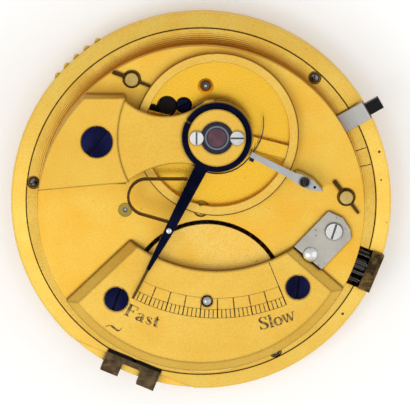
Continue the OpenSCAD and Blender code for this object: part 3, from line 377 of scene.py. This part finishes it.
def blued(name, shade, gloss=0.2):
    """Polished steel blued by heat: dark, with a lighter bloom and paler rubbed edges."""
    rubbed_blue, shade_black = (0.12, 0.13, 0.2), (0.002, 0.002, 0.003)
    made, shader, tone = finish(name, Metallic=1.0, Coat_Roughness=0.12)
    bloom = tone.place().noise(420, 3)
    marks = tone.place().noise(5200, 3)
    round_off, edge = sharp_edges(tone, 0.00005)
    colour = tone.blend(shade, [c * 2.6 for c in shade], bloom.ramp((0.4, 0.0), (0.75, 1.0)))
    colour = colour.dyed(rubbed_blue, edge * 0.3)
    # Painted shade: the corners are darkened.
    colour.dyed(shade_black, corner_shade(tone)).feed(shader, "Base Color")
    (0.24 + marks * 0.16).feed(shader, "Roughness")
    (bloom * gloss).feed(shader, "Coat Weight")
    marks.emboss(shader, 0.12, 0.00001, round_off)
    return made


dress(gilt("cap_gilt", (0.92, 0.64, 0.16), (0.9, 0.53, 0.075), barrel_at, turned=0.9, soiled=0.8), "barrel_cap")
dress(gilt("drum_gilt", (0.82, 0.53, 0.1), (0.7, 0.42, 0.06), barrel_at, turned=0.9, rough=0.25, wall_shade=0.2,
           overlay_shade=drum_gap_shade), "barrel_drum")
arbor_steel = steel("arbor_steel", (0.6, 0.6, 0.6), rough=0.2, brushed=0.2)
dress(arbor_steel, "barrel_arbor")
spring_blue = blued("spring_blue", (0.012, 0.016, 0.05))
dress(spring_blue, "mainspring")

# Going train
# Brass wheels riveted to steel arbors, which run between the plates.
# The wheels are crossed out, stoned flat and gilded.
train_gilt = gilt("train_gilt", (0.9, 0.63, 0.14), (0.78, 0.5, 0.08))
dress(train_gilt, "centre_wheel", "third_wheel", "fourth_wheel", "escape_wheel")
dress(arbor_steel, "centre_arbor", "third_arbor", "fourth_arbor", "escape_arbor")

# Lever escapement
# A steel lever with two ruby stones, its arbor, and the two brass pins that bank it.
# The stones are set in shellac in slots of the lever.


def stone(name, deep, light):
    """Polished ruby: dark and glossy, with paler clouds inside."""
    made, shader, tone = finish(name, Metallic=0.0, Roughness=0.06, Coat_Roughness=0.03, IOR=1.5)
    clouds = tone.place().noise(900, 3)
    tone.blend(deep, light, clouds.ramp((0.4, 0.0), (0.75, 1.0))).feed(shader, "Base Color")
    (0.1 + clouds * 0.3).feed(shader, "Coat Weight")
    return made


ruby = stone("ruby", (0.06, 0.012, 0.028), (0.13, 0.03, 0.06))
dress(arbor_steel, "lever", "pallet_arbor")
dress(ruby, "pallet_stones")
dress(stone("brown_stone", (0.05, 0.02, 0.012), (0.12, 0.05, 0.03)), "pallet_jewel")
dress(train_gilt, "banking_pins")

# Top plate and pillars
# The gilded plate over the train. Two pillar tips come through it and are held by taper pins,
# and a brass bush stands for the third wheel's pivot. The escape cock lies in a lobed
# opening whose floor is painted black as shade.
balance_at = (0.00172, 0.00836)
cock_pit = (-0.0034, 0.0112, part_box("top_plate")[1].z)
pit_radius = 3


def pit_shade(place):
    """Painted black shade in the opening of the escape cock, below the top of the plate."""
    off = place.vector("DISTANCE", cock_pit) * 1000
    depth = (cock_pit[2] - place.along("Z")) * 1000
    inside = (pit_radius - off).ramp((0.0, 0.0), (0.3, 1.0))
    return (0.012, 0.009, 0.006), inside * depth.ramp((0.05, 0.0), (0.3, 1.0))


# Painted shade on the walls and in the cock's opening, and painted bounce light under the balance.
dress(gilt("plate_gilt", (0.9, 0.585, 0.095), (0.9, 0.5, 0.055), balance_at, wall_shade=0.45, bounce_reach=9.2, overlay_shade=pit_shade),
      "top_plate")
dress(gilt("pillar_gilt", (0.72, 0.53, 0.18), (0.42, 0.29, 0.08), soiled=1.0, wall_shade=0.2), "pillars")
dress(gilt("pin_brass", (0.1, 0.05, 0.013), (0.03, 0.015, 0.005), soiled=0.9), "pillar_pins")
dress(gilt("bush_gilt", (0.42, 0.33, 0.08), (0.3, 0.22, 0.05), soiled=1.0), "third_bush")
dark_steel = steel("dark_steel", (0.024, 0.021, 0.021), rough=0.35)
dress(dark_steel, "escape_cock")
screw_blue = blued("screw_blue", (0.0045, 0.005, 0.026), gloss=0.06)
dress(screw_blue, "escape_cock_screw")

# Barrel bridge
# A bevelled gilt bridge over the barrel, held by two blued screws. The regulator's scale is
# engraved on it round the balance axis and filled with black.
# Its walls are painted fully dark and its bevels a little darker, as shade.
dress(gilt("bridge_gilt", (0.86, 0.555, 0.1), (0.82, 0.49, 0.07), slope_shade=0.15, wall_shade=1.0, outline=0.0004),
      "barrel_bridge")
dress(screw_blue, "bridge_screws")
worn_line = engraved("worn_line", (0.07, 0.04, 0.01), 0.57)
faint_line = engraved("faint_line", (0.2, 0.11, 0.025), 0.5)
scale_axis = Vector((*balance_at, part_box("barrel_bridge")[1].z))
scale_from, scale_to = math.radians(-117), math.radians(-68)
arc_in, arc_mid, arc_out = 0.0181, 0.01935, 0.0203
divisions = 9


def scale_ticks(name, count, inner, width):
    """Lines of the regulator's scale, from a radius out to its lowest arc."""
    return ticks(name, count, inner, arc_out, width, middle=scale_axis, ends=(scale_from, scale_to))


def scale_arc(name, radius, width):
    """A fine engraved arc round the balance axis."""
    steps = Steps(name)
    line = steps.step("GeometryNodeCurveArc", {
        "Resolution": 80, "Radius": steps.size("Radius", radius),
        "Start Angle": steps.size("Start", scale_from), "Sweep Angle": steps.size("Sweep", scale_to - scale_from)})
    cut = steps.step("GeometryNodeCurvePrimitiveQuadrilateral", {
        "Width": steps.size("Width", width), "Height": steps.size("Depth", cut_depth)})
    line = steps.step("GeometryNodeCurveToMesh", {"Curve": line, "Profile Curve": cut, "Fill Caps": True})
    line = steps.step("GeometryNodeTransform", {"Geometry": line, "Translation": scale_axis})
    return steps.mesh(name, line, faint_line)


# Each letter has its width and its strokes, in shares of the height of a capital.
# A point of a stroke is across, up and the thickness.
letters = {
    "F": (0.66, [[(0.15, 0.0, 6), (0.15, 1.0, 6)], [(0.0, 0.02, 2), (0.31, 0.02, 2)],
                 [(0.0, 0.98, 2), (0.58, 0.98, 2)], [(0.57, 1.0, 1), (0.57, 0.75, 3)],
                 [(0.15, 0.53, 2), (0.42, 0.53, 2)], [(0.42, 0.65, 2), (0.42, 0.41, 2)]]),
    "a": (0.52, [[(0.08, 0.5, 5), (0.13, 0.61, 2), (0.23, 0.65, 2), (0.33, 0.56, 5), (0.34, 0.4, 6),
                  (0.34, 0.12, 6), (0.4, 0.03, 3), (0.47, 0.06, 1)],
                 [(0.34, 0.38, 1), (0.16, 0.3, 4), (0.07, 0.16, 6), (0.15, 0.03, 4), (0.34, 0.13, 1)]]),
    "s": (0.42, [[(0.33, 0.5, 3), (0.21, 0.64, 1), (0.09, 0.52, 4), (0.2, 0.35, 6), (0.34, 0.18, 4),
                  (0.21, 0.02, 1), (0.06, 0.16, 3)]]),
    "t": (0.4, [[(0.17, 0.88, 2), (0.16, 0.6, 6), (0.16, 0.14, 6), (0.23, 0.02, 3), (0.34, 0.1, 1)],
                [(0.03, 0.64, 2), (0.32, 0.64, 2)]]),
    "S": (0.62, [[(0.5, 0.74, 2), (0.42, 0.93, 2), (0.27, 0.98, 2), (0.11, 0.86, 5), (0.13, 0.67, 6),
                  (0.32, 0.5, 7), (0.5, 0.32, 6), (0.48, 0.11, 5), (0.3, 0.02, 2), (0.13, 0.08, 2),
                  (0.07, 0.27, 2)],
                 [(0.51, 1.0, 2), (0.51, 0.72, 2)], [(0.06, 0.0, 2), (0.06, 0.29, 2)]]),
    "l": (0.3, [[(0.15, 0.0, 6), (0.15, 1.02, 6)], [(0.01, 0.02, 2), (0.29, 0.02, 2)],
                [(0.02, 0.96, 2), (0.15, 1.0, 4)]]),
    "o": (0.58, [[(0.28, 0.65, 2), (0.12, 0.54, 5), (0.07, 0.33, 6), (0.12, 0.12, 5), (0.28, 0.01, 2),
                  (0.44, 0.12, 5), (0.49, 0.33, 6), (0.44, 0.54, 5), (0.28, 0.65, 2)]]),
    "w": (0.84, [[(0.06, 0.65, 6), (0.24, 0.0, 5)], [(0.24, 0.0, 2), (0.39, 0.6, 2)],
                 [(0.36, 0.65, 6), (0.55, 0.0, 5)], [(0.55, 0.0, 2), (0.74, 0.65, 2)],
                 [(-0.03, 0.65, 2), (0.17, 0.65, 2)], [(0.27, 0.65, 2), (0.47, 0.65, 2)],
                 [(0.64, 0.65, 2), (0.84, 0.65, 2)]]),
    "~": (1.0, [[(0.0, 0.0, 1), (0.13, 0.18, 2), (0.32, 0.25, 4), (0.69, 0.19, 4), (0.82, 0.27, 2),
                 (0.88, 0.48, 1)]]),
}
thickness_unit = 0.014
letter_gap = 0.03
letter_lift = 0.00001


def eased(points, parts):
    """Points of a smooth line through the given ones."""
    ready = [Vector(points[0])]
    for i in range(len(points) - 1):
        nearby = [Vector(points[min(max(i + k, 0), len(points) - 1)]) for k in (-1, 0, 1, 2)]
        before, here, there, after = nearby
        for part in range(1, parts + 1):
            t = part / parts
            ready.append(0.5 * (2 * here + (there - before) * t
                                + (2 * before - 5 * here + 4 * there - after) * t ** 2
                                + (3 * here - before - 3 * there + after) * t ** 3))
    return ready


def word(name, text, first, baseline, height, stretch):
    """A word cut along an arc round the balance axis, in roman letters of thick and thin strokes."""
    corners, faces = [], []
    turn = math.radians(first)
    for letter in text:
        advance, strokes = letters[letter]
        across = Vector((-math.sin(turn), math.cos(turn), 0))
        inward = Vector((-math.cos(turn), -math.sin(turn), 0))
        foot = scale_axis - inward * baseline
        for stroke in strokes:
            line = eased(stroke, 6 if len(stroke) > 2 else 1)
            start = len(corners)
            for i, point in enumerate(line):
                way = (line[min(i + 1, len(line) - 1)] - line[max(i - 1, 0)]).to_2d().normalized()
                aside = Vector((-way.y, way.x)) * max(point.z, 1) * thickness_unit
                for side, lift in ((1, 1), (-1, 1), (-1, -1), (1, -1)):
                    spot = point.to_2d() + aside * side
                    corners.append(foot + (across * spot.x * stretch + inward * spot.y) * height
                                   + Vector((0, 0, lift * letter_lift)))
            for i in range(len(line) - 1):
                for k in range(4):
                    a, b = start + 4 * i + k, start + 4 * i + (k + 1) % 4
                    faces.append((a, b, b + 4, a + 4))
            last = start + 4 * (len(line) - 1)
            faces += [(start + 3, start + 2, start + 1, start), (last, last + 1, last + 2, last + 3)]
        turn += (advance * stretch + letter_gap) * height / baseline
    plain = bpy.data.meshes.new(name)
    plain.from_pydata(corners, [], faces)
    plain.materials.append(worn_line)
    return lay_out(name, plain)


scale_marks = [
    scale_ticks("scale_degrees", divisions + 1, inner=arc_in, width=0.00012),
    scale_ticks("scale_parts", divisions * 4 + 1, inner=arc_mid, width=0.0001),
    scale_ticks("scale_ends", 2, inner=0.01525, width=0.00008),
    scale_arc("scale_arc_upper", arc_in, width=0.00004),
    scale_arc("scale_arc_middle", arc_mid, width=0.00006),
    scale_arc("scale_arc_lower", arc_out, width=0.00006),
    word("word_fast", "Fast", first=-117.2, baseline=0.02233, height=0.00138, stretch=1.45),
    word("word_slow", "Slow", first=-77.6, baseline=0.02215, height=0.00138, stretch=1.26),
    word("flourish", "~", first=-119.9, baseline=0.02457, height=0.0019, stretch=1.0),
]
for mark in scale_marks:
    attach(mark, "frame")

# Winding work
# Ratchet, crown wheel and click under the dial, and the steel bridge on the top plate
# that holds the crown wheel's stud. Stoned grey steel with polished screws.
dress(steel("stoned_steel", (0.53, 0.5, 0.44), rough=0.36, brushed=0.6, along=0.8),
      "winding_bridge", "ratchet_wheel", "crown_wheel", "click")
polished_steel = steel("polished_steel", (0.78, 0.78, 0.77), rough=0.14, brushed=0.15)
dress(polished_steel, "shoulder_screws", "crown_stud")
dress(spring_blue, "click_spring")
dress(steel("winder_steel", (0.07, 0.065, 0.06), rough=0.14), "winding_pinion")

# Motion work
# The minute and hour wheels behind the dial, plain gilded brass, cut and left unpolished.
# The hour wheel turns on the steel cannon pinion, which sits on the centre arbor.
dress(train_gilt, "minute_wheel", "hour_wheel")
dress(arbor_steel, "cannon_pinion")

# Balance and its spring
# A plain gilt balance with two arms on a steel staff, which runs between jewels in the cock
# and the brass potence. The flat blued spring is pinned to a stud under a steel arm,
# and the arm is screwed to the top plate.
# The arms are painted brighter and more orange as reflected light, and the rim's outer edge brown as shade.
dress(gilt("balance_gilt", (0.87, 0.57, 0.11), (0.83, 0.5, 0.08), balance_at, turned=0.8, rough=0.3,
           bounce_reach=8.05, shade_ring_from=8.78), "balance_wheel")
dress(arbor_steel, "roller", "balance_staff")
dress(ruby, "balance_jewels")
dress(train_gilt, "potence")
dress(spring_blue, "balance_spring", "balance_stud")
dress(steel("arm_steel", (0.5, 0.5, 0.49), rough=0.26, along=0.48), "stud_arm")
dress(dark_steel, "stud_arm_screw")

# Balance cock
# The gilt cock that carries the balance's upper jewel, held by one large blued screw.
# The endstone lies in a dark steel setting with a bright lip, held by two polished screws.
dress(gilt("cock_gilt", (0.83, 0.53, 0.085), (0.8, 0.47, 0.065), wall_shade=0.5, outline=0.0003), "balance_cock")
dress(screw_blue, "cock_screw")
dress(polished_steel, "endstone_screws")
dress(ruby, "endstone")

setting_steel, shader, tone = finish("setting_steel", Metallic=1.0)
setting_black, lip_grey, dust_grey = (0.018, 0.02, 0.035), (0.22, 0.25, 0.3), (0.1, 0.09, 0.09)
lip_radius = 1.22
place = tone.place().mapped(Location=(-balance_at[0], -balance_at[1], 0))
from_axis = (place.along("X") ** 2 + place.along("Y") ** 2) ** 0.5 * 1000
lip = 1 - (from_axis - lip_radius) ** 2 * 60
dust = place.noise(3000, 2)
colour = tone.blend(setting_black, lip_grey, lip.ramp((0.0, 0.0), (0.9, 1.0)) * 0.8)
colour.dyed(dust_grey, dust * 0.3).feed(shader, "Base Color")
(0.18 + dust * 0.2).feed(shader, "Roughness")
dress(setting_steel, "endstone_setting")

# Regulator
# A blued steel ring clamped round the cock's boss, with a long arm and a bronze pointer over the scale.
# The compensation curb is a strip of brass and steel bent to a bow and riveted under the arm,
# and the rivet's polished cap shows on top.
dress(blued("regulator_blue", (0.0022, 0.003, 0.011), gloss=0.03), "regulator")
dress(gilt("pointer_bronze", (0.06, 0.034, 0.015), (0.03, 0.017, 0.008)), "pointer")
dress(gilt("curb_gilt", (0.1, 0.038, 0.011), (0.045, 0.017, 0.007), rough=0.3, wall_shade=0.0), "compensation_curb")

rivet_reach = 0.01148
rivet_radius = 0.00031
rivet_at = Vector((*balance_at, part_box("compensation_curb")[1].z))
rivet_at += Vector((math.cos(scale_from), math.sin(scale_from), 0)) * rivet_reach
steps = Steps("rivet_cap")
cap = steps.step("GeometryNodeMeshUVSphere", {
    "Segments": 32, "Rings": 16, "Radius": steps.size("Radius", rivet_radius)})
cap = steps.step("GeometryNodeTransform", {"Geometry": cap, "Translation": rivet_at, "Scale": (1, 1, 0.45)})
rivet_cap = steps.mesh("rivet_cap", cap, polished_steel)
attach(rivet_cap, "regulator")

# Case joint and winding sleeve
# The joint that hinges the movement to its case, and the sleeve that the stem enters.
# Both are brass gone dark brown, and the joint's side along the gap behind it is painted black as shade.


def bronze(name, dark, light, shaded_gap=None):
    """Brass gone brown and patchy, with bright scrapes and, along a gap, painted black shade."""
    scrape_brass, edge_brass, gap_shade_black = [min(c * 2.5, 1) for c in light], (0.5, 0.38, 0.2), (0.004, 0.003, 0.002)
    made, shader, tone = finish(name, Metallic=0.85)
    place = tone.place()
    patches = place.noise(800, 5, 0.6)
    scrapes = place.mapped(Rotation=(0, 0, 0.3), Scale=(500, 4200, 900)).noise(1, 3)
    round_off, edge = sharp_edges(tone, 0.00006)
    colour = tone.blend(dark, light, patches.ramp((0.42, 0.0), (0.7, 1.0)))
    colour = colour.dyed(scrape_brass, scrapes.ramp((0.58, 0.0), (0.72, 1.0)) * 0.25)
    colour = colour.dyed(edge_brass, edge * 0.4)
    # Painted shade: the side along the gap is blackened.
    if shaded_gap:
        way, start = shaded_gap
        off = place.vector("DOT_PRODUCT", way) * 1000 - start * 1000
        colour = colour.dyed(gap_shade_black, off.ramp((0.32, 1.0), (0.42, 0.0)))
    colour.feed(shader, "Base Color")
    (0.3 + patches * 0.35).feed(shader, "Roughness")
    patches.emboss(shader, 0.4, 0.00003, round_off)
    return made


joint_turn = math.radians(-112.5)
joint_way = Vector((math.cos(joint_turn), math.sin(joint_turn), 0))
joint_in = min(vertex.co @ joint_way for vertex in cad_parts["hinge_joint"].data.vertices)
dress(bronze("joint_bronze", (0.05, 0.032, 0.016), (0.16, 0.105, 0.05), shaded_gap=(joint_way, joint_in)), "hinge_joint")
dress(bronze("sleeve_bronze", (0.03, 0.018, 0.007), (0.27, 0.165, 0.05)), "winding_sleeve")

# Case bolt
# A sliding steel bolt with a blackened end, which locks the movement in its case.
# A blued leaf spring, screwed to the plate, presses it outwards.
bolt_turn = math.radians(29.5)
black_from = 20.85
bolt_pale, bolt_deep = (0.62, 0.61, 0.58), (0.46, 0.45, 0.43)
tip_black, edge_highlight = (0.012, 0.012, 0.012), (0.8, 0.8, 0.78)
bolt_steel, shader, tone = finish("bolt_steel", Metallic=0.9)
place = tone.node("Mapping", {"vector_type": "TEXTURE"}, {"Vector": tone.place(), "Rotation": (0, 0, bolt_turn)})
tip = (place.along("X") * 1000 - black_from).ramp((0.0, 0.0), (0.12, 1.0))
lines = place.mapped(Scale=(9000, 500, 900)).noise(1, 3)
round_off, edge = sharp_edges(tone, 0.00006)
colour = tone.blend(bolt_pale, bolt_deep, lines).dyed(tip_black, tip)
# Painted highlight: the edges are lightened.
colour.dyed(edge_highlight, edge * 0.3).feed(shader, "Base Color")
(0.3 + lines * 0.2).feed(shader, "Roughness")
lines.emboss(shader, 0.2, 0.00002, round_off)
dress(bolt_steel, "case_bolt")
dress(spring_blue, "bolt_spring")

leaf_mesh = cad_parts["bolt_spring"].data.copy()
leaf_shape = bmesh.new()
leaf_shape.from_mesh(leaf_mesh)
bmesh.ops.remove_doubles(leaf_shape, verts=leaf_shape.verts, dist=1e-7)
leaf_shape.to_mesh(leaf_mesh)
leaf_shape.free()
leaf = lay_out("bolt_leaf", leaf_mesh)
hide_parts("bolt_spring")
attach(leaf, "frame")
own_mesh(leaf)

# Bench
# A sheet of white paper for a floor, and a white surround that is a little dimmer behind.
# A window on the left, a ceiling lamp and a white card on the right add soft light.
half_floor, under = 2, -0.00005
sheet = [(-half_floor, -half_floor, under), (half_floor, -half_floor, under),
         (half_floor, half_floor, under), (-half_floor, half_floor, under)]
floor_mesh = bpy.data.meshes.new("floor")
floor_mesh.from_pydata(sheet, [], [(0, 1, 2, 3)])
floor = lay_out("floor", floor_mesh)
paper, shader, tone = finish("paper", Metallic=0.0, Roughness=0.9, Emission_Color=(1, 1, 1, 1),
                             Emission_Strength=0.12)
fibre = tone.place().noise(60, 4)
tone.blend((0.95, 0.95, 0.945), (0.92, 0.92, 0.915), fibre).feed(shader, "Base Color")
floor_mesh.materials.append(paper)

world = bpy.data.worlds.new("surround")
world.use_nodes = True
sky = world.node_tree.nodes["Background"]
sky.inputs["Color"].default_value = (1, 1, 1, 1)
behind = Tone(world.node_tree).node("TexCoord", out="Generated").along("Y")
behind.ramp((0.0, 0.84), (1.0, 0.64)).feed(sky, "Strength")
bpy.context.scene.world = world
bpy.context.scene.view_settings.view_transform = "Standard"


def lamp(name, spot, size, power):
    """A square soft light that faces the movement."""
    light = bpy.data.lights.new(name, "AREA")
    light.size, light.energy = size, power
    made = lay_out(name, light)
    made.location = spot
    made.rotation_euler = (-Vector(spot)).to_track_quat("-Z", "Y").to_euler()


lamp("window", (-0.24, -0.13, 0.42), size=0.26, power=0.45)
lamp("ceiling", (-0.04, -0.1, 0.5), size=0.36, power=0.05)
lamp("white_card", (0.32, -0.04, 0.27), size=0.4, power=0.2)

# Camera
# A long lens at arm's length above the movement, aimed a little off its middle.
# It leans a few degrees towards the balance side, as the photograph was taken.
view = bpy.data.cameras.new("view")
view.sensor_width, view.lens = 36, 477
view.clip_start, view.clip_end = 0.01, 10
tilt = math.radians(8)
distance = 0.6
aim = Vector((0.00043, -0.00007, 0.0046))
back = Vector((0, math.sin(tilt), math.cos(tilt)))
up = Vector((0, math.cos(tilt), -math.sin(tilt)))
turn = Matrix((Vector((1, 0, 0)), up, back)).transposed().to_4x4()
camera = lay_out("camera", view)
camera.matrix_world = Matrix.Translation(aim + back * distance) @ turn
bpy.context.scene.camera = camera
